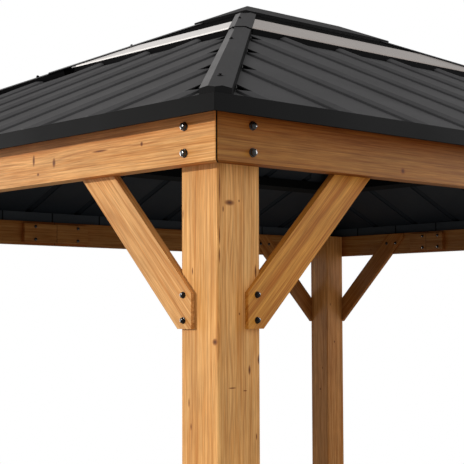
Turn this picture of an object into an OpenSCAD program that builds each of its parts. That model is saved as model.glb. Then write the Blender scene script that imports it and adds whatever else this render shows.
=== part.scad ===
// Cedar garden gazebo with a hipped steel roof and a translucent skylight band.
// The origin is on the ground below the middle of the roof: +X right, +Y back, +Z up.
// The long sides are front and back, the short sides are left and right.

/* [Layout] */
// Distance between post centres along the long sides
post_span_x = 3686; // [3300:2:4800]
// Distance between post centres along the short sides
post_span_y = 3112; // [2400:2:3400]
// Height of the underside of the beams above the ground
beam_z = 2050; // [1900:5:2600]
// Clearance between pieces that seat on each other
seat_gap = 0.3; // [0.1:0.1:0.8]

/* [Posts] */
// Width of the square posts
post_w = 140; // [120:1:190]
// Chamfer on the four long edges of a post
post_chamfer = 4; // [1:0.5:10]

/* [Post shoes] */
// Width of the anchor plate's rim around the socket, with the holes in its middle
shoe_rim = 43.4; // [36:0.1:60]
// Thickness of the anchor plate
shoe_plate_t = 6; // [4:0.5:12]
// Height of the socket around the foot of a post
shoe_socket_h = 60; // [30:1:120]
// Wall of the socket
shoe_wall = 3; // [2:0.5:6]
// Diameter of the anchor holes
anchor_hole_d = 14; // [8:0.5:18]

/* [Beams] */
// Thickness of the beam boards
beam_t = 48; // [35:1:60]
// Height of the beam boards
beam_h = 120; // [108:1:160]
// Chamfer on the outer edges of the mitred corners
beam_chamfer = 5; // [1:0.5:12]
// Open gap left at the mitred corners
mitre_gap = 1.5; // [0.5:0.1:4]
// Open gap left where two boards of a beam butt
butt_gap = 2; // [0.5:0.1:5]
// Distance of the butt joint from the middle of a long beam
long_joint = 150; // [0:5:800]
// Clear distance from the head of a brace to the splice board of a short beam
short_splice_gap = 65; // [5:1:300]
// Length of the splice board behind a joint in a long beam
long_splice_len = 400; // [240:5:600]
// Length of the splice board behind a joint in a short beam
short_splice_len = 240; // [160:5:250]
// Height of the splice boards
splice_h = 96; // [60:1:108]
// Thickness of the splice boards
splice_t = 22; // [16:1:30]

/* [Knee braces] */
// Thickness of the brace boards
brace_t = 22; // [16:1:35]
// Width of the brace boards
brace_w = 100; // [80:1:120]
// Distance from the beam underside down to the foot of a brace
brace_drop = 404; // [300:1:600]
// Length of a brace behind the beam, past where its lower edge meets the beam underside
brace_head_lap = 92; // [40:1:110]
// How far a brace laps over the outer face of its post
brace_lap = 52; // [35:1:65]
// Thickness of the tongue of a brace that laps over the post
brace_tongue = 12; // [8:0.5:16]
// Distance of the head of a brace below the top of the beam
brace_head_gap = 2; // [0.5:0.5:10]

/* [Eave] */
// How far the fascia stands out from the beam
fascia_proud = 54; // [25:1:70]
// Height of the fascia face
fascia_h = 42.5; // [36:0.5:90]
// Height of the upper lip of the fascia above the roof surface
fascia_lip = 14; // [8:0.5:20]
// Height of the lower edge of the fascia above the beam underside
fascia_lift = 107; // [80:1:115]
// How far the fascia channel reaches in over the beam
fascia_seat = 30; // [20:1:45]
// Width of the hem folded in along the lower edge of the fascia
fascia_hem = 9; // [6:1:20]
// Thickness of the folded steel
steel_t = 3; // [2:0.5:4]

/* [Roof] */
// Slope of all four roof sides in degrees
roof_pitch = 24.1; // [18:0.1:30]
// Distance between the roof ribs
rib_spacing = 305; // [250:1:400]
// Height of a rib
rib_h = 14; // [11:0.5:20]
// Width of a rib at its foot
rib_foot_w = 56; // [44:1:70]
// Width of the flat on top of a rib
rib_top_w = 10; // [8:1:20]
// Height of the steep sides of a rib, below its sloping shoulders
rib_side_h = 6; // [4:0.5:9]
// Width that one steep side takes up
rib_side_w = 3; // [2:0.5:5]
// Length over which the hip side of a rib is cut down towards a hip cap
rib_snip = 60; // [30:1:90]
// Distance in from the eave to the mid purlin
purlin_in = 550; // [400:1:700]
// Width of the mid purlin
purlin_w = 40; // [30:1:60]
// Depth of the mid purlin
purlin_h = 45; // [30:1:70]
// Width of the hip rafters
rafter_w = 44; // [34:1:60]
// Depth of the hip rafters
rafter_h = 76; // [70:1:100]
// Width of the ridge beam
ridge_beam_w = 44; // [34:1:60]
// Depth of the ridge beam
ridge_beam_h = 95; // [70:1:120]

/* [Skylight] */
// Distance from the edge of the crown out to the foot of the skylight
skylight_run = 390; // [250:1:600]
// Width of the bar along the lower edge of the skylight
skylight_bar_w = 40; // [25:1:60]
// Depth of that bar below the roof surface
skylight_bar_h = 45; // [30:1:70]
// Height of the upper face of the glazing above the roof surface
glazing_top = 26; // [22:0.5:30]
// Thickness of the glazing
glazing_t = 5; // [3:0.5:6]
// Distance of the lower edge of the glazing behind the face of that bar
glazing_setback = 6; // [2:0.5:15]

/* [Hip caps and crown] */
// Width of a hip cap
hip_cap_w = 78; // [70:1:100]
// Width of the flat on top of a hip cap
hip_cap_flat = 34; // [24:1:44]
// Height of the upright hem on the upper hip caps, which stand on the glazing
hip_cap_hem = 4.5; // [4:0.5:10]
// Fall from the flat to the outer edges of a hip cap
hip_cap_fall = 9; // [7:0.5:14]
// Length by which the upper hip cap laps over the lower one, measured in plan
hip_cap_lap = 45; // [25:1:80]
// Distance from the ridge out to the edge of the crown
crown_half = 160; // [135:1:240]
// Height of the crown above the roof surface
crown_lift = 38.5; // [36:0.5:50]
// How far the glazing runs in below the crown
crown_cover = 70; // [30:1:90]

/* [Hidden] */

// Turn of each side, seen from the front side
FRONT = 0;
RIGHT = 90;
BACK = 180;
LEFT = 270;

// Length by which cutting bodies run past what they cut
over = 200;
// Diagonal of a square with sides of one
diagonal = sqrt(2);
post_x = post_span_x / 2;
post_y = post_span_y / 2;
// Outer faces of the posts
face_x = post_x + post_w / 2;
face_y = post_y + post_w / 2;
// Distance from the outer face of a post to the outer face of a beam
beam_out = seat_gap + beam_t;
beam_top = beam_z + beam_h;
eave_x = face_x + beam_out + fascia_proud;
eave_y = face_y + beam_out + fascia_proud;
// Height of the roof surface at its eave edge
eave_z = beam_z + fascia_lift + fascia_h - fascia_lip;
slope = tan(roof_pitch);
ridge_half = eave_x - eave_y;
ridge_z = eave_z + slope * eave_y;
// Distances in from the eave to the edge of the crown and to the foot of the skylight
crown_in = eave_y - crown_half;
skylight_in = crown_in - skylight_run;
// The hip lines rise less steeply than the roof sides
hip_pitch = atan(slope / diagonal);
hip_fall = slope / diagonal * cos(hip_pitch);
// Upright thickness of a sheet that lies on the slope
sheet_drop = steel_t / cos(roof_pitch);
// Flattening of a surface that is square to the roof when it is cut square to a hip
hip_lean = cos(atan(hip_fall));
// Half width of the upper hip caps, which lap over the lower ones
upper_cap_half = hip_cap_w / 2 + steel_t + seat_gap;
// Distance from the hip lines kept clear for the hip caps above the roof surface
hip_clear = upper_cap_half + seat_gap;
// Height of the flat of the upper hip caps above the hip line
upper_cap_top = (glazing_top + seat_gap) / hip_lean - hip_fall * upper_cap_half
    + hip_cap_hem + hip_cap_fall;

// Half length and distance from the middle of a side's eave
function along(side) = side % 180 == 0 ? eave_x : eave_y;
function depth(side) = side % 180 == 0 ? eave_y : eave_x;
// The same two for the outer faces of the posts
function face_along(side) = side % 180 == 0 ? face_x : face_y;
function face_depth(side) = side % 180 == 0 ? face_y : face_x;

// Plan of one roof side, between its two hips; trim narrows it at the hips
function side_plan(side, trim) =
    let (a = along(side) - trim, d = depth(side), up = a - d)
    up > 0
        ? [[-a, -d], [a, -d], [up, 0], [-up, 0]]
        : [[-a, -d], [a, -d], [0, up]];

module wedge(side, trim) {
    linear_extrude(height = ridge_z + over)
        polygon(side_plan(side, trim));
}

// Strip of a side's plan, from one distance behind the eave to another
module strip(side, from, to) {
    translate([-along(side), from - depth(side), 0])
        cube([2 * along(side), to - from, ridge_z + over]);
}

// Everything below the roof surface once it is lowered by an upright distance
module under_roof(drop) {
    low = beam_z - over;
    intersection() {
        rotate([90, 0, 90])
            translate([0, 0, -eave_x])
                linear_extrude(height = 2 * eave_x)
                    polygon([[-eave_y, low], [eave_y, low], [eave_y, eave_z - drop],
                             [0, ridge_z - drop], [-eave_y, eave_z - drop]]);
        rotate([90, 0, 0])
            translate([0, 0, -eave_y])
                linear_extrude(height = 2 * eave_y)
                    polygon([[-eave_x, low], [eave_x, low], [eave_x, eave_z - drop],
                             [0, eave_z + slope * eave_x - drop], [-eave_x, eave_z - drop]]);
    }
}

// Frame of a roof side: x along the eave, y up the slope, z out of the surface
module on_slope(side) {
    translate([0, -depth(side), eave_z])
        rotate([roof_pitch, 0, 0])
            children();
}

// Frame of a hip: x up the hip line, y across it, z square to it
module on_hip(sx, sy) {
    mirror([sx > 0 ? 1 : 0, 0, 0])
        mirror([0, sy > 0 ? 1 : 0, 0])
            translate([-eave_x, -eave_y, eave_z])
                rotate([0, -hip_pitch, 45])
                    children();
}

function chamfered_square(half, c) = [
    [-half + c, -half], [half - c, -half], [half, -half + c], [half, half - c],
    [half - c, half], [-half + c, half], [-half, half - c], [-half, -half + c]
];

// Square post from its shoe up to the top of the beams, which are bolted to its outer faces
module post(sx, sy) {
    foot = shoe_plate_t + seat_gap;
    color("burlywood")
        translate([sx * post_x, sy * post_y, foot])
            linear_extrude(height = beam_top - foot)
                polygon(chamfered_square(post_w / 2, post_chamfer));
}

// Steel anchor plate with a socket for the foot of the post
module shoe(sx, sy) {
    socket_in = post_w + 2 * seat_gap;
    socket_out = socket_in + 2 * shoe_wall;
    plate_w = socket_out + 2 * shoe_rim;
    hole_at = (socket_out + shoe_rim) / 2;
    color("dimgray")
        translate([sx * post_x, sy * post_y, 0])
            difference() {
                union() {
                    translate([-plate_w / 2, -plate_w / 2, 0])
                        cube([plate_w, plate_w, shoe_plate_t]);
                    translate([-socket_out / 2, -socket_out / 2, 0])
                        cube([socket_out, socket_out, shoe_plate_t + shoe_socket_h]);
                }
                translate([-socket_in / 2, -socket_in / 2, shoe_plate_t])
                    cube([socket_in, socket_in, shoe_socket_h + over]);
                for (ax = [-1, 1], ay = [-1, 1])
                    translate([ax * hole_at, ay * hole_at, -over / 2])
                        cylinder(h = over, d = anchor_hole_d, $fn = 48);
            }
}

// Plan of a beam between its mitres, with the outer corner edges taken off
function beam_plan(side) =
    let (a_out = face_along(side) + beam_out - mitre_gap / diagonal,
         a_in = a_out - beam_t,
         d_out = face_depth(side) + beam_out,
         c = beam_chamfer)
    [[-a_out + c, -d_out], [a_out - c, -d_out], [a_out - c / 2, -d_out + c / 2],
     [a_in, -d_out + beam_t], [-a_in, -d_out + beam_t], [-a_out + c / 2, -d_out + c / 2]];

// Beam of two boards that butt off centre, with a splice board bolted behind the joint.
// The long beams butt left of the middle, the short beams towards the back.
module beam(side) {
    hand = side == FRONT || side == LEFT ? -1 : 1;
    brace_head = face_along(side) - post_w - brace_drop - brace_head_lap;
    short_joint = brace_head - short_splice_gap - short_splice_len / 2;
    joint = hand * (side % 180 == 0 ? long_joint : short_joint);
    splice_len = side % 180 == 0 ? long_splice_len : short_splice_len;
    color("peru")
        rotate(side) {
            translate([0, 0, beam_z])
                difference() {
                    linear_extrude(height = beam_h)
                        polygon(beam_plan(side));
                    translate([joint - butt_gap / 2, -depth(side), -over / 2])
                        cube([butt_gap, depth(side), beam_h + over]);
                }
            translate([joint - splice_len / 2, -face_depth(side), beam_z + (beam_h - splice_h) / 2])
                cube([splice_len, splice_t, splice_h]);
        }
}

// Outline of a brace, from the side of the post and the underside of the beam
function brace_outline() =
    let (board = brace_w * diagonal,
         reach = brace_drop + brace_head_lap,
         head = beam_h - brace_head_gap)
    [[-brace_lap, -brace_drop], [0, -brace_drop], [reach, brace_head_lap], [reach, head],
     [head + brace_drop - board, head], [-brace_lap, board - brace_drop - brace_lap]];

// Knee brace: a 45 degree board, half lapped over the post's outer face and behind the beam
module brace(side, hand) {
    post_side = (side % 180 == 0 ? post_x : post_y) - post_w / 2;
    inner = brace_t - brace_tongue;
    color("sandybrown")
        rotate(side)
            mirror([hand > 0 ? 1 : 0, 0, 0])
                translate([-post_side, -face_depth(side), beam_z])
                    difference() {
                        translate([0, inner, 0])
                            rotate([90, 0, 0])
                                linear_extrude(height = brace_t)
                                    polygon(brace_outline());
                        // Rebate over the post
                        translate([seat_gap - over, -seat_gap, -brace_drop - over])
                            cube([over, over, brace_drop + over]);
                        // Rebate behind the beam
                        translate([0, -over, -seat_gap])
                            cube([brace_drop + over, over, beam_h]);
                    }
}

// Folded steel eave channel that lies on the beam. Its face hangs down past the beam top,
// and its upper lip hides the ends of the ribbed sheets.
module fascia(side) {
    face = fascia_proud;
    web = -fascia_seat;
    seat = beam_h + seat_gap;
    t = steel_t;
    lip_top = fascia_lift + fascia_h;
    // Underside of the roof sheet above a point that stands out from the beam
    function top(out) = lip_top - fascia_lip - sheet_drop + slope * (face - out);
    outline = [
        [face, fascia_lift], [face, lip_top], [face - t, lip_top], [face - t, top(face - t)],
        [web, top(web)], [web, seat], [face - t, seat],
        [face - t, fascia_lift + t], [face - fascia_hem, fascia_lift + t],
        [face - fascia_hem, fascia_lift]
    ];
    hollow = [
        [face - t, seat + t], [face - t, top(face - t) - sheet_drop],
        [web + t, top(web + t) - sheet_drop], [web + t, seat + t]
    ];
    color("black")
        rotate(side)
            intersection() {
                translate([-along(side), fascia_proud - depth(side), beam_z])
                    rotate([90, 0, 90])
                        linear_extrude(height = 2 * along(side))
                            mirror([1, 0])
                                difference() {
                                    polygon(outline);
                                    polygon(hollow);
                                }
                wedge(side, 0);
            }
}

// Section of a ribbed roof sheet, along the eave
function rib_points(at, foot, top, low, high) = [
    [at - foot / 2, low], [at - foot / 2 + rib_side_w, low + rib_side_h], [at - top / 2, high],
    [at + top / 2, high], [at + foot / 2 - rib_side_w, low + rib_side_h], [at + foot / 2, low]
];
function rib_count(half) = floor((half - rib_foot_w) / rib_spacing);
function sheet_section(half) =
    let (n = rib_count(half),
         over_side = [for (i = [-n:n]) each
             rib_points(i * rib_spacing, rib_foot_w, rib_top_w, 0, rib_h)],
         under_side = [for (i = [n:-1:-n]) each
             [for (p = rib_points(-i * rib_spacing, rib_foot_w - 2 * steel_t,
                                  rib_top_w - steel_t, -steel_t, rib_h - steel_t))
                 [-p[0], p[1]]]])
    concat([[-half, 0]], over_side, [[half, 0], [half, -steel_t]], under_side, [[-half, -steel_t]]);

// Room beside a rib's crest where its hip side is cut down towards the hip cap
module rib_snips(side) {
    n = rib_count(along(side));
    for (i = [-n:n]) {
        at = i * rib_spacing;
        reach = along(side) - abs(at) - hip_clear * diagonal;
        if (reach < skylight_in)
            translate([at > 0 ? at : at - rib_foot_w / 2, reach / cos(roof_pitch), 0])
                rotate([90, 0, 90])
                    linear_extrude(height = rib_foot_w / 2)
                        polygon([[-rib_snip, rib_h], [0, 0], [rib_foot_w, 0],
                                 [rib_foot_w, over], [-rib_snip, over]]);
    }
}

// Ribbed steel sheet from the lip of the fascia up to the skylight bar. Its ribs stop short
// of the hip caps, and a flat border along the hips closes them from below.
module roof_sheet(side) {
    run = (skylight_in - seat_gap) / cos(roof_pitch);
    border = hip_clear * diagonal + rib_snip + rib_foot_w / 2;
    color("dimgray")
        rotate(side)
            difference() {
                intersection() {
                    union() {
                        on_slope(side)
                            translate([0, 2 * run, 0])
                                rotate([90, 0, 0])
                                    linear_extrude(height = 3 * run)
                                        polygon(sheet_section(along(side)));
                        difference() {
                            on_slope(side)
                                translate([-along(side), -run, -steel_t])
                                    cube([2 * along(side), 3 * run, steel_t]);
                            wedge(side, border);
                        }
                    }
                    wedge(side, seat_gap);
                    strip(side, steel_t + seat_gap, skylight_in - seat_gap);
                }
                on_slope(side)
                    rib_snips(side);
                difference() {
                    on_slope(side)
                        translate([-along(side), -run, 0])
                            cube([2 * along(side), 3 * run, rib_h + over]);
                    wedge(side, hip_clear * diagonal);
                }
            }
}

// Steel purlin under the middle of the ribbed sheets
module purlin(side) {
    color("darkslategray")
        rotate(side)
            intersection() {
                difference() {
                    rotate(-side) under_roof(sheet_drop + seat_gap);
                    rotate(-side) under_roof(sheet_drop + purlin_h);
                }
                strip(side, purlin_in, purlin_in + purlin_w);
                wedge(side, (rafter_w / 2 + seat_gap) * diagonal);
            }
}

// Skylight: flat glazing from a steel bar at its foot, which it lies on, to below the crown
module skylight(side) {
    glazing_in = glazing_top - glazing_t;
    bar_top = glazing_in - seat_gap;
    run = depth(side) / cos(roof_pitch);
    color("lightgray")
        rotate(side) {
            intersection() {
                on_slope(side)
                    translate([-along(side), 0, glazing_in])
                        cube([2 * along(side), run, glazing_t]);
                strip(side, skylight_in + glazing_setback, crown_in + crown_cover);
                wedge(side, seat_gap + glazing_top);
            }
            difference() {
                intersection() {
                    on_slope(side)
                        translate([-along(side), 0, -skylight_bar_h])
                            cube([2 * along(side), run, skylight_bar_h + bar_top]);
                    strip(side, skylight_in, skylight_in + skylight_bar_w);
                    wedge(side, (rafter_w / 2 + seat_gap) * diagonal);
                }
                difference() {
                    on_slope(side)
                        translate([-along(side), 0, 0])
                            cube([2 * along(side), run, bar_top + over]);
                    wedge(side, hip_clear * diagonal);
                }
            }
        }
}

// Steel hip rafter from the post head up to the ridge beam
module hip_rafter(sx, sy) {
    in = fascia_proud + fascia_seat + seat_gap;
    length = eave_y * diagonal / cos(hip_pitch) + over;
    color("darkslategray")
        intersection() {
            on_hip(sx, sy)
                translate([0, -rafter_w / 2, -rafter_h])
                    cube([length, rafter_w, rafter_h + over]);
            under_roof(sheet_drop + seat_gap);
            // Seat on the beams and the post head
            translate([-eave_x + in, -eave_y + in, beam_top])
                cube([2 * (eave_x - in), 2 * (eave_y - in), ridge_z]);
            // Butt against the side of the ridge beam
            translate([-eave_x, sy > 0 ? ridge_beam_w / 2 + seat_gap : -eave_y, 0])
                cube([2 * eave_x, eave_y - ridge_beam_w / 2 - seat_gap, ridge_z]);
        }
}

// Steel beam under the ridge; its ends follow the hipped roof sides
module ridge_beam() {
    half = ridge_half + rafter_w * diagonal;
    color("darkslategray")
        intersection() {
            translate([-half, -ridge_beam_w / 2, ridge_z - ridge_beam_h])
                cube([2 * half, ridge_beam_w, ridge_beam_h]);
            under_roof(sheet_drop + seat_gap);
        }
}

// Outer line of a hip cap whose hems stand on a surface raised by lift, and its folded section
function cap_line(lift, half, flat, top) =
    let (foot = lift / hip_lean - hip_fall * half, edge = top - hip_cap_fall)
    [[-half, foot], [-half, edge], [-flat, top], [flat, top], [half, edge], [half, foot]];
function cap_section(line) =
    let (t = steel_t, half = line[5][0] - t, low = line[5][1] + hip_fall * t,
         edge = line[4][1] - t, flat = line[3][0] - t / 2, top = line[3][1] - t)
    concat(line, [[half, low], [half, edge], [flat, top], [-flat, top], [-half, edge], [-half, low]]);

module cap_length(section, from, to) {
    stretch = diagonal / cos(hip_pitch);
    translate([from * stretch, 0, 0])
        rotate([90, 0, 90])
            linear_extrude(height = (to - from) * stretch)
                polygon(section);
}

// Block with the plan of the eave, made smaller by an inset
module eave_block(inset, low) {
    translate([inset - eave_x, inset - eave_y, low])
        cube([2 * (eave_x - inset), 2 * (eave_y - inset), ridge_z + over - low]);
}

// Room taken by the crown in plan, widened by a clearance
module crown_block(gap, low) {
    x = ridge_half + crown_half + gap;
    y = crown_half + gap;
    translate([-x, -y, low])
        cube([2 * x, 2 * y, ridge_z + over - low]);
}

// Hip cap in two lengths: the upper one rides over the skylight and laps the lower one.
// The lower end is closed by a flap that stands on the lip of the fascia.
module hip_cap(sx, sy) {
    joint = skylight_in - hip_cap_lap;
    behind_lip = steel_t + seat_gap;
    flat = hip_cap_flat / 2;
    lower = cap_line(seat_gap, hip_cap_w / 2, flat, upper_cap_top - steel_t - seat_gap);
    upper = cap_line(glazing_top + seat_gap, upper_cap_half, flat + steel_t, upper_cap_top);
    color("slategray")
        difference() {
            union() {
                intersection() {
                    on_hip(sx, sy) {
                        cap_length(cap_section(lower), -over, skylight_in - seat_gap);
                        cap_length(cap_section(upper), joint, eave_y);
                    }
                    eave_block(behind_lip, 0);
                }
                intersection() {
                    on_hip(sx, sy)
                        cap_length(lower, -over, hip_cap_w);
                    difference() {
                        eave_block(0, eave_z + fascia_lip + seat_gap);
                        eave_block(behind_lip, 0);
                    }
                }
            }
            crown_block(seat_gap, beam_z);
        }
}

// Folded crown cap over the top of the roof, with an upright lip all round
module crown_cap() {
    // The lip ends just above the glazing
    lip_z = eave_z + slope * crown_in + (glazing_top + seat_gap) / cos(roof_pitch);
    color("gray")
        difference() {
            intersection() {
                translate([0, 0, crown_lift / cos(roof_pitch)])
                    under_roof(0);
                crown_block(0, lip_z);
            }
            intersection() {
                translate([0, 0, (crown_lift - steel_t) / cos(roof_pitch)])
                    under_roof(0);
                crown_block(-steel_t, beam_z);
            }
        }
}

post(-1, -1);  // post_front_left
post(1, -1);  // post_front_right
post(-1, 1);  // post_back_left
post(1, 1);  // post_back_right
shoe(-1, -1);  // shoe_front_left
shoe(1, -1);  // shoe_front_right
shoe(-1, 1);  // shoe_back_left
shoe(1, 1);  // shoe_back_right
beam(FRONT);  // beam_front
beam(RIGHT);  // beam_right
beam(BACK);  // beam_back
beam(LEFT);  // beam_left
brace(FRONT, -1);  // brace_front_at_left
brace(FRONT, 1);  // brace_front_at_right
brace(RIGHT, -1);  // brace_right_at_front
brace(RIGHT, 1);  // brace_right_at_back
brace(BACK, -1);  // brace_back_at_right
brace(BACK, 1);  // brace_back_at_left
brace(LEFT, -1);  // brace_left_at_back
brace(LEFT, 1);  // brace_left_at_front
fascia(FRONT);  // fascia_front
fascia(RIGHT);  // fascia_right
fascia(BACK);  // fascia_back
fascia(LEFT);  // fascia_left
roof_sheet(FRONT);  // roof_front
roof_sheet(RIGHT);  // roof_right
roof_sheet(BACK);  // roof_back
roof_sheet(LEFT);  // roof_left
purlin(FRONT);  // purlin_front
purlin(RIGHT);  // purlin_right
purlin(BACK);  // purlin_back
purlin(LEFT);  // purlin_left
skylight(FRONT);  // skylight_front
skylight(RIGHT);  // skylight_right
skylight(BACK);  // skylight_back
skylight(LEFT);  // skylight_left
hip_rafter(-1, -1);  // hip_rafter_front_left
hip_rafter(1, -1);  // hip_rafter_front_right
hip_rafter(-1, 1);  // hip_rafter_back_left
hip_rafter(1, 1);  // hip_rafter_back_right
hip_cap(-1, -1);  // hip_cap_front_left
hip_cap(1, -1);  // hip_cap_front_right
hip_cap(-1, 1);  // hip_cap_back_left
hip_cap(1, 1);  // hip_cap_back_right
ridge_beam();
crown_cap();
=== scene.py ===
import math
import random

import bpy
from mathutils import Matrix, Vector


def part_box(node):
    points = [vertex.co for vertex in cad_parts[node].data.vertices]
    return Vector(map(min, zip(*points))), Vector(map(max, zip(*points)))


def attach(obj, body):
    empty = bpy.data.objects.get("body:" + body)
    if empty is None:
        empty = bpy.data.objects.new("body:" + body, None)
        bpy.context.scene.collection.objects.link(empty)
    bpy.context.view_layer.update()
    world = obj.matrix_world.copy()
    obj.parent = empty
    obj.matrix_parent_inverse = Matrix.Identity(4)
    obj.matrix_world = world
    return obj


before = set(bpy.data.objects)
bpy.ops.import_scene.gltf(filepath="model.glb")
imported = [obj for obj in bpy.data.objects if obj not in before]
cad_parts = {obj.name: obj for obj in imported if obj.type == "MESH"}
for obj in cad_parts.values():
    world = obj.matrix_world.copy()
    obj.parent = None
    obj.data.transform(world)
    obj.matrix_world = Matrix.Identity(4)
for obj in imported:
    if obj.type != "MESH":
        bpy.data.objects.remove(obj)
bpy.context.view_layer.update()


# The studio floor: a disc of brushed pale concrete, which lies a millimetre below the
# shoes. From the camera's place none of it shows.
FLOOR_RADIUS = 8.0
FLOOR_CORNERS = 96
FLOOR_LEVEL = -0.001
CONCRETE_GRIT = 0.003
CONCRETE_CLOUD = 0.5


def linear(hex_colour):
    """An sRGB hex colour as linear RGBA."""
    steps = [int(hex_colour[i:i + 2], 16) / 255 for i in (1, 3, 5)]
    return tuple(v / 12.92 if v <= 0.04045 else ((v + 0.055) / 1.055) ** 2.4 for v in steps) + (1.0,)


def add(tree, kind, links=None, **settings):
    """Adds a shader node with its settings, then links or sets its sockets. A socket
    goes by its name, or by its number where names repeat: a MapRange maps its value,
    0, from the range 1 to 2 onto the range 3 to 4, and a Mix of colours goes from
    6 to 7 by its factor, 0."""
    made = tree.nodes.new("ShaderNode" + kind)
    for key, value in settings.items():
        setattr(made, key, value)
    for socket, value in (links or {}).items():
        if isinstance(value, bpy.types.NodeSocket):
            tree.links.new(value, made.inputs[socket])
        else:
            made.inputs[socket].default_value = value
    return made.outputs


def new_material(name, roughness, specular):
    """An empty material with a Principled shader and its gloss."""
    material = bpy.data.materials.new(name)
    material.use_nodes = True
    tree = material.node_tree
    shader = tree.nodes["Principled BSDF"]
    shader.inputs["Roughness"].default_value = roughness
    shader.inputs["Specular IOR Level"].default_value = specular
    return material, tree, shader


def feed(tree, shader, links):
    """Links patterns to the shader's sockets."""
    for socket, value in links.items():
        tree.links.new(value, shader.inputs[socket])


def mesh_object(name, verts, faces, material):
    """A mesh from plain points and faces, placed in the frame."""
    mesh = bpy.data.meshes.new(name)
    mesh.from_pydata(verts, [], faces)
    mesh.update()
    mesh.materials.append(material)
    made = bpy.data.objects.new(name, mesh)
    bpy.context.scene.collection.objects.link(made)
    return made


# Concrete shows fine grit and soft clouding about half a metre across
concrete, tree, shader = new_material("brushed pale concrete", 0.85, 0.3)
place = add(tree, "TexCoord")["Object"]
grit = add(tree, "TexNoise", {"Vector": place, "Scale": 1 / CONCRETE_GRIT, "Detail": 3.0})[0]
cloud = add(tree, "TexNoise", {"Vector": place, "Scale": 1 / CONCRETE_CLOUD, "Detail": 4.0})[0]
tone = add(tree, "Math", {0: grit, 1: cloud}, operation="ADD")[0]
tone = add(tree, "MapRange", {0: tone, 1: 0.6, 2: 1.4, 3: 0.0, 4: 1.0})[0]
paint = add(tree, "Mix", {0: tone, 6: linear("#b3b1ad"), 7: linear("#c1bfbc")}, data_type="RGBA")[2]
feed(tree, shader, {"Base Color": paint})
turns = [math.tau * i / FLOOR_CORNERS for i in range(FLOOR_CORNERS)]
rim = [(FLOOR_RADIUS * math.cos(turn), FLOOR_RADIUS * math.sin(turn), FLOOR_LEVEL) for turn in turns]
mesh_object("floor", rim, [list(range(FLOOR_CORNERS))], concrete)


# A flag, the black cloth board of a photo studio, stands on the floor behind the gazebo
# and keeps the sun off the far post. The camera doesn't see it.
FLAG_FOOT = ((-1.01, 2.69), (-0.49, 3.46))
FLAG_HIGH = 2.85


def mottled(name, size, detail, dark, light, roughness, specular):
    """A finish of one tone with soft spots of this size in metres. Returns the spots too."""
    material, tree, shader = new_material(name, roughness, specular)
    spots = add(tree, "TexNoise", {"Vector": add(tree, "TexCoord")["Object"], "Scale": 1 / size,
                                   "Detail": detail})[0]
    paint = add(tree, "Mix", {0: spots, 6: linear(dark), 7: linear(light)}, data_type="RGBA")[2]
    feed(tree, shader, {"Base Color": paint})
    return material, tree, shader, spots


# Black cotton, whose weave gives a slight change of tone
flag_cloth = mottled("black flag cloth", 0.002, 1.0, "#0c0c0c", "#181818", 0.9, 0.1)[0]
near_foot, far_foot = FLAG_FOOT
corners = [(*near_foot, 0.0), (*far_foot, 0.0), (*far_foot, FLAG_HIGH), (*near_foot, FLAG_HIGH)]
flag = mesh_object("flag", corners, [(0, 1, 2, 3)], flag_cloth)
flag.visible_camera = False


# Two soft boxes stand behind the gazebo on the left and in front of it on the right.
# Only mirrored light comes from them, and it gives the bolts their bright spots.
SOFT_BOX_HALF = 1.8
SOFT_BOXES = (("soft_box_left", (-3.4, 6.3, 2.3), (1, 0.15, 0)),
              ("soft_box_right", (5.6, -3.6, 3.9), (0.25, 1, 0)))
# White cloth, lit from behind, with soft folds about 0.8 m apart
glowing_cloth = bpy.data.materials.new("soft box cloth")
glowing_cloth.use_nodes = True
tree = glowing_cloth.node_tree
tree.nodes.clear()
folds = add(tree, "TexNoise", {"Vector": add(tree, "TexCoord")["Object"], "Scale": 1 / 0.8, "Detail": 1.0})[0]
power = add(tree, "MapRange", {0: folds, 1: 0.3, 2: 0.7, 3: 12.0, 4: 15.0})[0]
lit = add(tree, "Emission", {"Color": (1, 1, 1, 1), "Strength": power})[0]
add(tree, "OutputMaterial", {"Surface": lit})
for name, centre, across in SOFT_BOXES:
    sideways = Vector(across).normalized() * SOFT_BOX_HALF
    upward = Vector((0, 0, SOFT_BOX_HALF))
    corners = [tuple(Vector(centre) + sideways * a + upward * b)
               for a, b in ((-1, -1), (1, -1), (1, 1), (-1, 1))]
    box = mesh_object(name, corners, [(0, 1, 2, 3)], glowing_cloth)
    box.visible_camera = box.visible_diffuse = box.visible_shadow = box.visible_transmission = False


# The pale sky and one low sun. The sun stands left of the gazebo and a little behind it,
# so the left faces are lit. The sky is brighter in front of the gazebo, towards the
# right, than behind it, and dimmer in mirrored light.
SKY_EVEN = 0.30
SKY_FRONT = 0.62
SKY_MIRRORED = 0.35
SKY_FROM = (0.50, -0.84, 0.08)
SUN_DIRECTION = (-0.829, 0.559, 0.2155)
SUN_STRENGTH = 2.3
SUN_WIDTH = math.radians(1.5)
world = bpy.data.worlds.new("pale sky")
bpy.context.scene.world = world
world.use_nodes = True
tree = world.node_tree
tree.nodes.clear()
facing = add(tree, "VectorMath", {0: add(tree, "TexCoord")["Generated"], 1: SKY_FROM},
             operation="DOT_PRODUCT")["Value"]
glow = add(tree, "MapRange", {0: facing, 1: -0.9, 2: 0.9, 3: SKY_EVEN, 4: SKY_EVEN + SKY_FRONT})[0]
path = add(tree, "LightPath")
mirrored = add(tree, "MapRange", {0: path["Is Glossy Ray"], 1: 0.0, 2: 1.0, 3: 1.0, 4: SKY_MIRRORED})[0]
glow = add(tree, "Math", {0: glow, 1: mirrored}, operation="MULTIPLY")[0]
fill = add(tree, "Background", {"Color": (1, 0.985, 0.965, 1), "Strength": glow})[0]
seen = add(tree, "Background", {"Color": (1, 1, 1, 1), "Strength": 1.0})[0]
sky = add(tree, "MixShader", {0: path["Is Camera Ray"], 1: fill, 2: seen})[0]
add(tree, "OutputWorld", {"Surface": sky})
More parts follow.
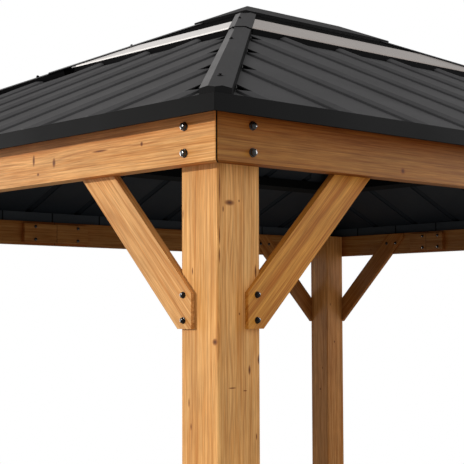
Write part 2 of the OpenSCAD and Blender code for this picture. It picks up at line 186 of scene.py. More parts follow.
sun = bpy.data.lights.new("low sun", "SUN")
sun.energy = SUN_STRENGTH
sun.angle = SUN_WIDTH
sun.color = (1.0, 0.96, 0.90)
lamp = bpy.data.objects.new("low sun", sun)
lamp.rotation_euler = (-Vector(SUN_DIRECTION)).to_track_quat("-Z", "Y").to_euler()
bpy.context.scene.collection.objects.link(lamp)


# The camera stands in front of the near post at eye height and looks slightly up at the
# corner through a long lens. Its place and turn bring the frame's edges onto those of
# the photograph.
CAMERA_PLACE = (-3.9795, -3.9329, 1.6764)
CAMERA_RIGHT = Vector((0.73777601, -0.67503847, -0.00310323))
CAMERA_UP = Vector((-0.04222938, -0.05074123, 0.99781862))
FOCAL_LENGTH = 99.30
SENSOR_WIDTH = 36.0
FAR_CLIP = 200.0
lens = bpy.data.cameras.new("camera")
lens.sensor_width = SENSOR_WIDTH
lens.lens = FOCAL_LENGTH
lens.clip_end = FAR_CLIP
camera = bpy.data.objects.new("camera", lens)
turn = Matrix((CAMERA_RIGHT, CAMERA_UP, CAMERA_RIGHT.cross(CAMERA_UP))).transposed().to_4x4()
camera.matrix_world = Matrix.Translation(CAMERA_PLACE) @ turn
bpy.context.scene.collection.objects.link(camera)
bpy.context.scene.camera = camera
bpy.context.scene.view_settings.view_transform = "Standard"
bpy.context.scene.view_settings.look = "None"


# The four posts: 140 mm square western red cedar, planed on all faces with eased
# edges, and finished with a clear oil. Each stands in a steel shoe.
POST_X = 1.843
POST_Y = 1.556
POST_HALF = 0.070
POST_HEART_IN = (0.100, 0.085)
# The far post is painted darker: painted shade, for the shade it stands in inside the gazebo
FAR_POST_SHADE_TONE = "#e2d3c4"
PALE_CEDAR = "#f0ba76"
WARM_CEDAR = "#c3803b"
DARK_CEDAR = "#94562b"
KNOT_RED = "#8a4d22"
KNOT_BROWN = "#4a2813"
OPEN_JOINT = "#0d0805"
# Sizes of the wood's grains in metres: along the board, across it and through it. The
# fibre is drawn coarser than real fibre, so that it shows.
STREAK = (0.22, 0.005, 0.005)
BAND = (0.45, 0.024, 0.024)
FIBRE = (0.07, 0.0022, 0.0022)
OIL_CLOUD = (0.20, 0.07, 0.07)
RING_WANDER = (0.9, 0.4, 0.4)
RING_WANDER_DEPTH = 0.016
RING_WIDTH = 0.0042
BENDING_KNOT = 0.005
SECOND_TREE = (5.1, 2.3, 7.7)
MITRE_GAP = 0.0026
BUTT_GAP = 0.0012
SHADE_REACH = 0.07


def cedar(name, along, across, heart, seed, knots, shade_tone="#ffffff", butt=None):
    """Planed western red cedar under clear oil. The eye gets long straight streaks of
    honey and red-brown, 3 to 10 mm wide, thin late-wood lines, and small dark knots
    that bend the grain. along and across are the board's directions, heart is a point
    on the middle line of the tree, and a knot is (place, radius, how much longer than
    wide it is). On a beam, butt says where along it the two boards meet."""
    material, tree, shader = new_material(name, 0.6, 0.08)
    axes = [Vector(along), Vector(across), Vector(along).cross(Vector(across))]
    place = add(tree, "TexCoord")["Object"]
    parts = [add(tree, "VectorMath", {0: place, 1: tuple(axis)}, operation="DOT_PRODUCT")["Value"]
             for axis in axes]
    board = add(tree, "CombineXYZ", dict(enumerate(parts)))[0]
    drift = random.Random(seed)
    shift = tuple(drift.uniform(-9, 9) for _ in range(3))
    if butt is not None:
        # The two boards of a beam come from different trees
        second = add(tree, "Math", {0: parts[0], 1: butt}, operation="GREATER_THAN")[0]
        shift = add(tree, "Mix", {0: second, 4: shift, 5: SECOND_TREE}, data_type="VECTOR")[1]

    def grain(size, detail, roughness=0.5):
        """A pattern of grains of this size in the board's own directions."""
        scaled = add(tree, "VectorMath", {0: board, 1: tuple(1 / v for v in size)}, operation="MULTIPLY")[0]
        scaled = add(tree, "VectorMath", {0: scaled, 1: shift}, operation="ADD")[0]
        return add(tree, "TexNoise", {"Vector": scaled, "Scale": 1.0, "Detail": detail,
                                      "Roughness": roughness})[0]

    # Knots are dark at their heart and push the grain aside around them
    bend = None
    mark = None
    for spot, radius, length in knots:
        centre = tuple(Vector(spot).dot(axis) for axis in axes)
        off = add(tree, "VectorMath", {0: board, 1: centre}, operation="SUBTRACT")[0]
        near = add(tree, "VectorMath", {0: off, 1: (1 / length, 1, 1)}, operation="MULTIPLY")[0]
        near = add(tree, "VectorMath", {0: near}, operation="LENGTH")["Value"]
        core = add(tree, "MapRange", {0: near, 1: radius * 1.15, 2: radius * 0.2, 3: 0.0, 4: 1.0})[0]
        mark = core if mark is None else add(tree, "Math", {0: mark, 1: core}, operation="MAXIMUM")[0]
        if radius >= BENDING_KNOT:
            far = add(tree, "VectorMath", {0: off, 1: (0.25, 1, 1)}, operation="MULTIPLY")[0]
            far = add(tree, "VectorMath", {0: far}, operation="LENGTH")["Value"]
            push = add(tree, "MapRange", {0: far, 1: radius * 3.0, 2: 0.0, 3: 0.0, 4: radius * 0.6},
                       interpolation_type="SMOOTHSTEP")[0]
            bend = push if bend is None else add(tree, "Math", {0: bend, 1: push}, operation="ADD")[0]

    # Growth rings round the tree's middle line, which wander a few millimetres in a metre
    middle = (0.0, Vector(heart).dot(axes[1]), Vector(heart).dot(axes[2]))
    radial = add(tree, "VectorMath", {0: board, 1: middle}, operation="SUBTRACT")[0]
    radial = add(tree, "VectorMath", {0: radial, 1: (0, 1, 1)}, operation="MULTIPLY")[0]
    radial = add(tree, "VectorMath", {0: radial}, operation="LENGTH")["Value"]
    wander = add(tree, "Math", {0: grain(RING_WANDER, 2.0), 1: 0.5}, operation="SUBTRACT")[0]
    radial = add(tree, "Math", {0: wander, 1: RING_WANDER_DEPTH, 2: radial}, operation="MULTIPLY_ADD")[0]
    if bend is not None:
        radial = add(tree, "Math", {0: radial, 1: bend}, operation="ADD")[0]
    # The rings are uneven in width, so they are drawn from noise along the ring count
    count = add(tree, "Math", {0: radial, 1: 1 / RING_WIDTH, 2: drift.uniform(0, 90)},
                operation="MULTIPLY_ADD")[0]
    late = add(tree, "TexNoise", {"W": count, "Scale": 0.8, "Detail": 3.0, "Roughness": 0.6},
               noise_dimensions="1D")[0]
    years = add(tree, "TexNoise", {"W": count, "Scale": 0.18, "Detail": 1.0}, noise_dimensions="1D")[0]

    # Pale and warm wood lie in streaks and wider bands, with late-wood lines in them
    streak = grain(STREAK, 4.0, 0.65)
    band = grain(BAND, 3.0)
    fibre = grain(FIBRE, 2.0, 0.6)
    body = add(tree, "Math", {0: years, 1: band}, operation="ADD")[0]
    body = add(tree, "Math", {0: streak, 1: 2.8, 2: body}, operation="MULTIPLY_ADD")[0]
    body = add(tree, "MapRange", {0: body, 1: 1.60, 2: 3.20, 3: 0.0, 4: 1.0},
               interpolation_type="SMOOTHSTEP")[0]
    colour = add(tree, "Mix", {0: body, 6: linear(PALE_CEDAR), 7: linear(WARM_CEDAR)}, data_type="RGBA")[2]
    line = add(tree, "MapRange", {0: late, 1: 0.50, 2: 0.75, 3: 0.0, 4: 0.42})[0]
    colour = add(tree, "Mix", {0: line, 6: colour, 7: linear(DARK_CEDAR)}, data_type="RGBA")[2]
    # Oil sinks in more at the fibres, and in soft clouds where it lay longer
    thin = add(tree, "MapRange", {0: fibre, 1: 0.3, 2: 0.7, 3: 1.14, 4: 0.82})[0]
    soft = add(tree, "MapRange", {0: grain(OIL_CLOUD, 4.0), 1: 0.3, 2: 0.7, 3: 1.10, 4: 0.88})[0]
    thin = add(tree, "Math", {0: thin, 1: soft}, operation="MULTIPLY")[0]
    # The board's last colour darkens boards that stand in shade: painted shade
    thin = add(tree, "VectorMath", {0: linear(shade_tone)[:3], "Scale": thin}, operation="SCALE")[0]
    colour = add(tree, "Mix", {0: 1.0, 6: colour, 7: thin}, data_type="RGBA", blend_type="MULTIPLY")[2]
    if mark is not None:
        halo = add(tree, "MapRange", {0: mark, 1: 0.0, 2: 0.5, 3: 0.0, 4: 0.8})[0]
        colour = add(tree, "Mix", {0: halo, 6: colour, 7: linear(KNOT_RED)}, data_type="RGBA")[2]
        core = add(tree, "MapRange", {0: mark, 1: 0.45, 2: 1.0, 3: 0.0, 4: 0.8})[0]
        colour = add(tree, "Mix", {0: core, 6: colour, 7: linear(KNOT_BROWN)}, data_type="RGBA")[2]
    if butt is not None:
        # Painted shade: close under the fascia, and in its other creases, a beam's colour is made redder and
        # dimmer
        shade = add(tree, "AmbientOcclusion", {"Distance": SHADE_REACH}, samples=6)["AO"]
        shade = add(tree, "MapRange", {0: shade, 1: 0.45, 2: 0.95, 3: 0.0, 4: 1.0})[0]
        painted_shade_tint = add(tree, "Mix", {0: shade, 6: linear("#ecc09e"), 7: linear("#ffffff")}, data_type="RGBA")[2]
        colour = add(tree, "Mix", {0: 1.0, 6: colour, 7: painted_shade_tint}, data_type="RGBA", blend_type="MULTIPLY")[2]
        # The open joints at the mitred corners and between the boards show as dark lines
        plan = add(tree, "SeparateXYZ", {0: add(tree, "VectorMath", {0: place}, operation="ABSOLUTE")[0]})
        mitre = add(tree, "Math", {0: plan[0], 1: plan[1]}, operation="SUBTRACT")[0]
        mitre = add(tree, "Math", {0: mitre, 1: POST_X - POST_Y, 2: MITRE_GAP}, operation="COMPARE")[0]
        end = add(tree, "Math", {0: parts[0], 1: butt, 2: BUTT_GAP}, operation="COMPARE")[0]
        gap = add(tree, "Math", {0: mitre, 1: end}, operation="MAXIMUM")[0]
        colour = add(tree, "Mix", {0: gap, 6: colour, 7: linear(OPEN_JOINT)}, data_type="RGBA")[2]
    relief = add(tree, "Math", {0: late, 1: fibre}, operation="ADD")[0]
    bump = add(tree, "Bump", {"Height": relief, "Strength": 0.15, "Distance": 0.0006})[0]
    feed(tree, shader, {"Base Color": colour, "Normal": bump})
    return material


def finish_node(name, material, ease=0.0):
    """Gives a CAD node its finish and, for timber and thick steel, eased edges."""
    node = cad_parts[name]
    node.data.materials.clear()
    node.data.materials.append(material)
    if ease:
        rounding = node.modifiers.new("eased edges", "BEVEL")
        rounding.width = ease
        rounding.segments = 3
        rounding.limit_method = "ANGLE"
        rounding.angle_limit = math.radians(30)


CORNERS = (("front_left", -1, -1), ("front_right", 1, -1), ("back_left", -1, 1), ("back_right", 1, 1))
# A post's knots and drying cracks: height, x and y from the post's middle, radius, and
# how much longer than wide. The near post's follow the photograph.
POST_KNOTS = {
    "front_left": (
        (1.615, -0.070, -0.057, 0.0095, 0.9), (1.933, -0.068, 0.062, 0.0030, 5.0),
        (1.789, -0.070, 0.026, 0.0024, 4.0), (1.955, -0.033, -0.070, 0.0165, 0.45),
        (1.938, -0.054, -0.070, 0.0022, 3.5), (1.961, -0.001, -0.070, 0.0024, 1.5),
        (1.705, 0.020, -0.070, 0.0022, 2.5), (1.683, -0.001, -0.070, 0.0024, 1.5),
        (1.788, 0.054, -0.070, 0.0040, 4.5), (1.545, 0.032, -0.070, 0.0042, 3.0),
        (1.570, 0.065, -0.070, 0.0060, 2.2), (1.503, -0.025, -0.070, 0.0130, 0.14),
        (1.495, 0.017, -0.070, 0.0070, 0.25), (1.381, 0.055, -0.070, 0.0022, 4.0),
        (1.990, -0.066, -0.070, 0.0020, 22.0), (1.872, -0.066, -0.070, 0.0020, 12.0),
        (1.825, -0.066, -0.070, 0.0020, 10.0), (1.464, -0.070, 0.040, 0.0024, 5.0),
        (1.406, -0.070, 0.032, 0.0024, 4.0)),
    "back_right": ((1.520, -0.008, -0.070, 0.006, 1.3), (1.230, -0.070, -0.006, 0.007, 1.0),
                   (1.750, -0.043, -0.070, 0.004, 2.5), (1.360, -0.070, -0.026, 0.004, 2.0))}
OTHER_POST_KNOTS = ((0.620, 0.070, 0.020, 0.007, 1.1), (1.310, -0.020, 0.070, 0.006, 1.4),
                    (0.350, -0.070, -0.030, 0.005, 2.0), (1.780, 0.030, -0.070, 0.006, 1.0))
for corner, sx, sy in CORNERS:
    knots = [((sx * POST_X + dx, sy * POST_Y + dy, height), radius, length)
             for height, dx, dy, radius, length in POST_KNOTS.get(corner, OTHER_POST_KNOTS)]
    heart = (sx * (POST_X - POST_HEART_IN[0]), sy * (POST_Y - POST_HEART_IN[1]), 0.0)
    wood = cedar("oiled cedar post " + corner.replace("_", " "), (0, 0, 1), (1, 0, 0), heart,
                 12 + 3 * sx + sy, knots, shade_tone=FAR_POST_SHADE_TONE if corner == "back_right" else "#ffffff")
    finish_node("post_" + corner, wood)


# The four beams: 48 x 120 mm planed cedar boards, mitred at the corners and bolted to
# the outer faces of the posts. Each side is two boards that butt over a splice board.
BEAM_BOTTOM = 2.050
BEAM_HIGH = 0.120
BEAM_INNER = 0.0703
BEAM_OUTER = 0.1183
BEAM_HEART_DOWN = 0.160
BEAM_HEART_IN = 0.055
BOARD_EASE = 0.0015
LONG_BUTT = -0.150
SHORT_BUTT = 0.805
# Where the boards' knots lie: distance along the beam, height, which face, radius, and
# how much longer than wide
BEAM_KNOTS = {
    "left": ((-0.898, 2.118, BEAM_OUTER, 0.0170, 0.35), (-0.998, 2.103, BEAM_OUTER, 0.0140, 0.55),
             (-1.388, 2.116, BEAM_OUTER, 0.0065, 0.9), (-0.920, 2.077, BEAM_OUTER, 0.0050, 1.2),
             (-1.210, 2.115, BEAM_OUTER, 0.0030, 12.0), (0.350, 2.100, BEAM_OUTER, 0.0060, 1.2),
             (1.300, 2.130, BEAM_OUTER, 0.0050, 1.2)),
    "front": ((-1.276, 2.073, BEAM_OUTER, 0.0095, 1.1), (-0.300, 2.120, BEAM_OUTER, 0.0060, 1.2),
              (0.750, 2.080, BEAM_OUTER, 0.0055, 1.3), (1.450, 2.130, BEAM_OUTER, 0.0045, 1.2)),
    "back": ((-0.900, 2.100, BEAM_INNER, 0.0060, 1.2), (0.400, 2.130, BEAM_INNER, 0.0050, 1.2),
             (1.200, 2.080, BEAM_OUTER, 0.0060, 1.3)),
    "right": ((-0.700, 2.090, BEAM_INNER, 0.0050, 1.2), (0.500, 2.120, BEAM_OUTER, 0.0060, 1.2),
              (1.250, 2.080, BEAM_INNER, 0.0050, 1.3))}
# Each beam's last colour darkens its wood: the front, right and back beams are painted darker than the sunlit
# left one, as painted shade
BEAMS = (("front", (1, 0, 0), (0, -1, 0), POST_Y, "#b9a681", LONG_BUTT),
         ("right", (0, 1, 0), (1, 0, 0), POST_X, "#b0a08f", SHORT_BUTT),
         ("back", (1, 0, 0), (0, 1, 0), POST_Y, "#b0a08f", LONG_BUTT),
         ("left", (0, 1, 0), (-1, 0, 0), POST_X, "#fefcfd", SHORT_BUTT))
for index, (side, along, out, line, shade_tone, butt) in enumerate(BEAMS):
    out = Vector(out)
    knots = [(out * (line + face) + Vector(along) * run + Vector((0, 0, height)), radius, length)
             for run, height, face, radius, length in BEAM_KNOTS[side]]
    heart = out * (line + BEAM_OUTER - BEAM_HEART_IN)
    heart.z = BEAM_BOTTOM + BEAM_HIGH / 2 - BEAM_HEART_DOWN
    wood = cedar("oiled cedar beam " + side, along, (0, 0, 1), heart, 31 + index, knots, shade_tone, butt)
    finish_node("beam_" + side, wood, ease=BOARD_EASE)


# The eight knee braces: 22 x 100 mm cedar boards at 45 degrees, half lapped over the
# post and behind the beam, and bolted at both ends.
SLANT = math.sqrt(0.5)
BRACES = (("front", "left"), ("front", "right"), ("right", "front"), ("right", "back"),
          ("back", "right"), ("back", "left"), ("left", "back"), ("left", "front"))
BRACE_KNOTS = ((-0.170, 0.020), (0.120, -0.025))
BRACE_KNOT_RADIUS = 0.0042
BRACE_HEART = (0.050, 0.150)
# The braces on the long sides are painted darker and warmer, and the two at the far post darkest: painted
# shade, for the shade they stand in
LONG_SIDE_SHADE_TONE = "#e6d39a"
SHORT_SIDE_SHADE_TONE = "#f8f8fa"
FAR_BRACE_SHADE_TONE = "#b39c84"
for index, (side, post) in enumerate(BRACES):
    name = side + "_at_" + post
    lean = SLANT if post in ("left", "front") else -SLANT
    if side in ("front", "back"):
        along, across, shade_tone = Vector((lean, 0, SLANT)), Vector((0, 1, 0)), LONG_SIDE_SHADE_TONE
    else:
        along, across, shade_tone = Vector((0, lean, SLANT)), Vector((1, 0, 0)), SHORT_SIDE_SHADE_TONE
    if {side, post} == {"back", "right"}:
        shade_tone = FAR_BRACE_SHADE_TONE
    through = along.cross(across)
    low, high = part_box("brace_" + name)
    middle = (Vector(low) + Vector(high)) / 2
    knots = [(middle + along * run + through * aside, BRACE_KNOT_RADIUS, 1.4) for run, aside in BRACE_KNOTS]
    heart = middle + across * BRACE_HEART[0] + through * BRACE_HEART[1]
    wood = cedar("oiled cedar brace " + name.replace("_", " "), along, across, heart, 52 + index, knots,
                 shade_tone)
    finish_node("brace_" + name, wood, ease=BOARD_EASE)


# The timber bolts: black zinc-plated hex bolts with a pressed flange. Two M10 bolts hold
# each beam end to its post; M8 bolts hold the braces and the splice boards.
TURNED_STEPS = 36
BEAM_BOLT_HEIGHTS = (2.076, 2.142)
BRACE_FACE = 0.082
FOOT_BOLT_HEIGHTS = (1.730, 1.667)
FOOT_BOLT_IN = 0.048
HEAD_BOLT_RUNS = (0.371, 0.440)
HEAD_BOLT_HEIGHT = 2.113
HEAD_BOLT_FACE = 0.060
SPLICE_BOLT_HEIGHTS = (2.077, 2.143)
SPLICE_FACE = 0.048
LONG_SPLICE_OFFS = (-0.133, 0.133)
SHORT_SPLICE_OFFS = (-0.086, 0.0245)


def turned_shape(rings):
    """Points and faces of a shape that stands up from z = 0 and is closed at its top.
    Each ring is (radius, height, hexagonal or not)."""
    verts = []
    for radius, height, hexed in rings:
        for i in range(TURNED_STEPS):
            turn = math.tau * i / TURNED_STEPS
            grow = 1 / math.cos((turn + math.pi / 6) % (math.pi / 3) - math.pi / 6) if hexed else 1.0
            verts.append((radius * grow * math.cos(turn), radius * grow * math.sin(turn), height))
    faces = []
    for low in range(0, TURNED_STEPS * (len(rings) - 1), TURNED_STEPS):
        high = low + TURNED_STEPS
        for i in range(TURNED_STEPS):
            j = (i + 1) % TURNED_STEPS
            faces.append([low + i, low + j, high + j, high + i])
    faces.append(list(range(TURNED_STEPS * (len(rings) - 1), TURNED_STEPS * len(rings))))
    return verts, faces


def bolt_shape(flats, head, flange, plate):
    """A hex head with a domed top on a round flange: the head's width across its flats
    and its height, and the flange's radius and thickness."""
    half = flats / 2
    return turned_shape([
        (flange, 0.0, False), (flange, plate * 0.5, False), (flange * 0.94, plate, False),
        (half * 1.05, plate * 1.15, True), (half, plate + head * 0.15, True),
        (half, plate + head * 0.74, True), (half * 0.93, plate + head * 0.86, False),
        (half * 0.70, plate + head * 0.95, False), (half * 0.35, plate + head, False)])


def set_out(name, shape, spots, material, seed):
    """One piece made of a shape at each spot, (point, direction it stands up in), each
    turned by chance as a fitter leaves it."""
    verts, faces = [], []
    drift = random.Random(seed)
    for point, direction in spots:
        turn = Vector(direction).to_track_quat("Z", "Y").to_matrix().to_4x4()
        stand = Matrix.Translation(point) @ turn @ Matrix.Rotation(drift.uniform(0, math.tau), 4, "Z")
        start = len(verts)
        verts += [tuple(stand @ Vector(v)) for v in shape[0]]
        faces += [[start + i for i in face] for face in shape[1]]
    piece = mesh_object(name, verts, faces, material)
    piece.data.shade_smooth()
    piece.data.set_sharp_from_angle(angle=math.radians(32))
    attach(piece, "root")


def black_zinc(name, roughness, specular):
    """Black zinc plating: blue-black with cloudy wear about 6 mm across, so that it
    mirrors the sky in small hard highlights."""
    material, tree, shader, wear = mottled(name, 0.006, 4.0, "#030304", "#0c0d0f", roughness, specular)
    rough = add(tree, "MapRange", {0: wear, 1: 0.3, 2: 0.7, 3: roughness - 0.08, 4: roughness + 0.12})[0]
    feed(tree, shader, {"Roughness": rough})
    return material


bolt_black = black_zinc("black zinc bolt plating", 0.2, 1.0)
foot_black = black_zinc("dulled black zinc plating", 0.2, 0.3)
BEAM_BOLT = bolt_shape(0.017, 0.0075, 0.0115, 0.002)
BRACE_BOLT = bolt_shape(0.0125, 0.0055, 0.0085, 0.0016)
beam_bolts, foot_bolts, head_bolts, splice_bolts = [], [], [], []
for sx in (-1, 1):
    for sy in (-1, 1):
        for height in BEAM_BOLT_HEIGHTS:
            beam_bolts.append(((sx * POST_X, sy * (POST_Y + BEAM_OUTER), height), (0, sy, 0)))
            beam_bolts.append(((sx * (POST_X + BEAM_OUTER), sy * POST_Y, height), (sx, 0, 0)))
        for height in FOOT_BOLT_HEIGHTS:
            along_x = sx * (POST_X - FOOT_BOLT_IN)
            along_y = sy * (POST_Y - FOOT_BOLT_IN)
            foot_bolts.append(((along_x, sy * (POST_Y + BRACE_FACE), height), (0, sy, 0)))
            foot_bolts.append(((sx * (POST_X + BRACE_FACE), along_y, height), (sx, 0, 0)))
        for run in HEAD_BOLT_RUNS:
            along_x = sx * (POST_X - POST_HALF - run)
            along_y = sy * (POST_Y - POST_HALF - run)
            head_bolts.append(((along_x, sy * (POST_Y + HEAD_BOLT_FACE), HEAD_BOLT_HEIGHT), (0, -sy, 0)))
            head_bolts.append(((sx * (POST_X + HEAD_BOLT_FACE), along_y, HEAD_BOLT_HEIGHT), (-sx, 0, 0)))
for height in SPLICE_BOLT_HEIGHTS:
    for off in LONG_SPLICE_OFFS:
        splice_bolts.append(((LONG_BUTT + off, -(POST_Y + SPLICE_FACE), height), (0, 1, 0)))
        splice_bolts.append(((LONG_BUTT + off, POST_Y + SPLICE_FACE, height), (0, -1, 0)))
    for off in SHORT_SPLICE_OFFS:
        for sx in (-1, 1):
            splice_bolts.append(((sx * (POST_X + SPLICE_FACE), SHORT_BUTT + off, height), (-sx, 0, 0)))
set_out("beam_bolts", BEAM_BOLT, beam_bolts, bolt_black, 3)
set_out("brace_foot_bolts", BRACE_BOLT, foot_bolts, foot_black, 5)
set_out("brace_head_bolts", BRACE_BOLT, head_bolts, bolt_black, 7)
set_out("splice_bolts", BRACE_BOLT, splice_bolts, bolt_black, 9)


# The shoes: a 6 mm anchor plate with a welded socket under each post, powder coated.
# Four masonry anchors go through the plate, and two screws a side hold the post.
PLATE_TOP = 0.006
ANCHOR_OFF = 0.095
SHOE_FACE = 0.0733
SHOE_EASE = 0.001
SHOE_SCREW_OFFS = (-0.035, 0.035)
SHOE_SCREW_HEIGHT = 0.038
THREAD_FOOT = 0.0125
THREAD_STEP = 0.0008
THREAD_TURNS = 16
THREAD_ROOT = 0.0053
THREAD_CREST = 0.0060
STUD_TOP = (0.0045, 0.0262, False)
POWDER_PEEL = 0.0015
POWDER_DUST = 0.35


def powder_coat(name, colour, roughness, specular, marks=None):
    """Matt powder coat on steel: nearly black, with the faint orange peel of baked
    powder and slow patches of dust. marks draws what else is on the paint."""
    material, tree, shader = new_material(name, roughness, specular)
    place = add(tree, "TexCoord")["Object"]
    peel = add(tree, "TexNoise", {"Vector": place, "Scale": 1 / POWDER_PEEL, "Detail": 1.0})[0]
    dust = add(tree, "TexNoise", {"Vector": place, "Scale": 1 / POWDER_DUST, "Detail": 4.0})[0]
    tone = add(tree, "MapRange", {0: dust, 1: 0.3, 2: 0.75, 3: 0.85, 4: 1.2})[0]
    paint = add(tree, "VectorMath", {0: linear(colour)[:3], "Scale": tone}, operation="SCALE")[0]
    if marks:
        paint = marks(tree, place, paint)
    rough = add(tree, "MapRange", {0: dust, 1: 0.3, 2: 0.75, 3: roughness - 0.05, 4: roughness + 0.05})[0]
    bump = add(tree, "Bump", {"Height": peel, "Strength": 0.12, "Distance": 0.0002})[0]
    feed(tree, shader, {"Base Color": paint, "Roughness": rough, "Normal": bump})
    return material


def anchor_shape():
    """A washer, a hex nut and the end of the threaded stud that stands out of it."""
    verts, faces = bolt_shape(0.019, 0.010, 0.012, 0.0025)
    thread = [(THREAD_CREST if i % 2 else THREAD_ROOT, THREAD_FOOT + THREAD_STEP * i, False)
              for i in range(THREAD_TURNS)]
    stud_verts, stud_faces = turned_shape(thread + [STUD_TOP])
    return verts + stud_verts, faces + [[len(verts) + i for i in face] for face in stud_faces]


shoe_coat = powder_coat("satin black powder coat", "#161617", 0.5, 0.35)
anchors, shoe_screws = [], []
for corner, sx, sy in CORNERS:
    finish_node("shoe_" + corner, shoe_coat, ease=SHOE_EASE)
    x, y = sx * POST_X, sy * POST_Y
    for ax in (-1, 1):
        for ay in (-1, 1):
            anchors.append(((x + ax * ANCHOR_OFF, y + ay * ANCHOR_OFF, PLATE_TOP), (0, 0, 1)))
        for off in SHOE_SCREW_OFFS:
            shoe_screws.append(((x + ax * SHOE_FACE, y + off, SHOE_SCREW_HEIGHT), (ax, 0, 0)))
            shoe_screws.append(((x + off, y + ax * SHOE_FACE, SHOE_SCREW_HEIGHT), (0, ax, 0)))
# Clear zinc passivation: cool grey metal with faint clouds about 8 mm across
bright_zinc, _, shader, _ = mottled("bright zinc anchor", 0.008, 3.0, "#9a9da1", "#c3c6ca", 0.35, 0.5)
shader.inputs["Metallic"].default_value = 1.0
set_out("floor_anchors", anchor_shape(), anchors, bright_zinc, 11)
SHOE_SCREW = bolt_shape(0.010, 0.005, 0.0075, 0.0015)
set_out("shoe_screws", SHOE_SCREW, shoe_screws, bolt_black, 13)


# The fascia channels and the roof frame: folded sheet and steel tube with a matt black
# powder coat. The fascia is mitred at the corners, and the tubes lie under the sheets.
FASCIA_EASE = 0.0008
FASCIA_SEAM = 0.0015
SHEET_STEP = 0.305
SHEET_JOINT = 0.004
SIDES = ("front", "right", "back", "left")


def fascia_marks(tree, place, paint):
    """The thin open seams at the mitred corners, and on the channel's web a dark joint at every sheet. The
    web's inward face is painted a paler blue-grey: painted light."""
    plan = add(tree, "SeparateXYZ", {0: add(tree, "VectorMath", {0: place}, operation="ABSOLUTE")[0]})
    seam = add(tree, "Math", {0: plan[0], 1: plan[1]}, operation="SUBTRACT")[0]
    seam = add(tree, "Math", {0: seam, 1: POST_X - POST_Y, 2: FASCIA_SEAM}, operation="COMPARE")[0]
    paint = add(tree, "Mix", {0: seam, 6: paint, 7: linear("#020202")}, data_type="RGBA")[2]
    face = add(tree, "NewGeometry")["True Normal"]
    away = add(tree, "VectorMath", {0: place, 1: face}, operation="DOT_PRODUCT")["Value"]
    inward = add(tree, "Math", {0: away, 1: 0.0}, operation="LESS_THAN")[0]
    level = add(tree, "VectorMath", {0: face, 1: (1, 1, 0)}, operation="MULTIPLY")[0]
    level = add(tree, "VectorMath", {0: level}, operation="LENGTH")["Value"]
    web = add(tree, "Math", {0: inward, 1: level}, operation="MULTIPLY")[0]
    # Painted light: the web's inward face is paler
    paint = add(tree, "Mix", {0: web, 6: paint, 7: linear("#393d42")}, data_type="RGBA")[2]
    along = add(tree, "VectorMath", {0: face}, operation="ABSOLUTE")[0]
    along = add(tree, "VectorMath", {0: along, 1: (0, 0, 1)}, operation="CROSS_PRODUCT")[0]
    run = add(tree, "VectorMath", {0: place, 1: along}, operation="DOT_PRODUCT")["Value"]
    run = add(tree, "Math", {0: run, 1: SHEET_STEP}, operation="PINGPONG")[0]
    joint = add(tree, "Math", {0: run, 1: SHEET_STEP / 2, 2: SHEET_JOINT}, operation="COMPARE")[0]
    joint = add(tree, "Math", {0: joint, 1: web}, operation="MULTIPLY")[0]
    return add(tree, "Mix", {0: joint, 6: paint, 7: linear("#08090a")}, data_type="RGBA")[2]


fascia_coat = powder_coat("matt black powder coat", "#121213", 0.72, 0.045, fascia_marks)
tube_coat = powder_coat("matt black coat on tube", "#0e0f10", 0.7, 0.06)
for side in SIDES:
    finish_node("fascia_" + side, fascia_coat, ease=FASCIA_EASE)
    finish_node("purlin_" + side, tube_coat)
for corner, _, _ in CORNERS:
    finish_node("hip_rafter_" + corner, tube_coat)
finish_node("ridge_beam", tube_coat)


# The roof sheets: ribbed steel, 0.5 mm thick, with a charcoal coil coat. Below, the sheet is painted a darker
# blue-black, as painted shade under the roof. Their ribs are pressed in, and their feet stand in the fascia.
COIL_DUST = 0.22
COIL_MOTTLE = 0.004
CREASE_REACH = 0.035


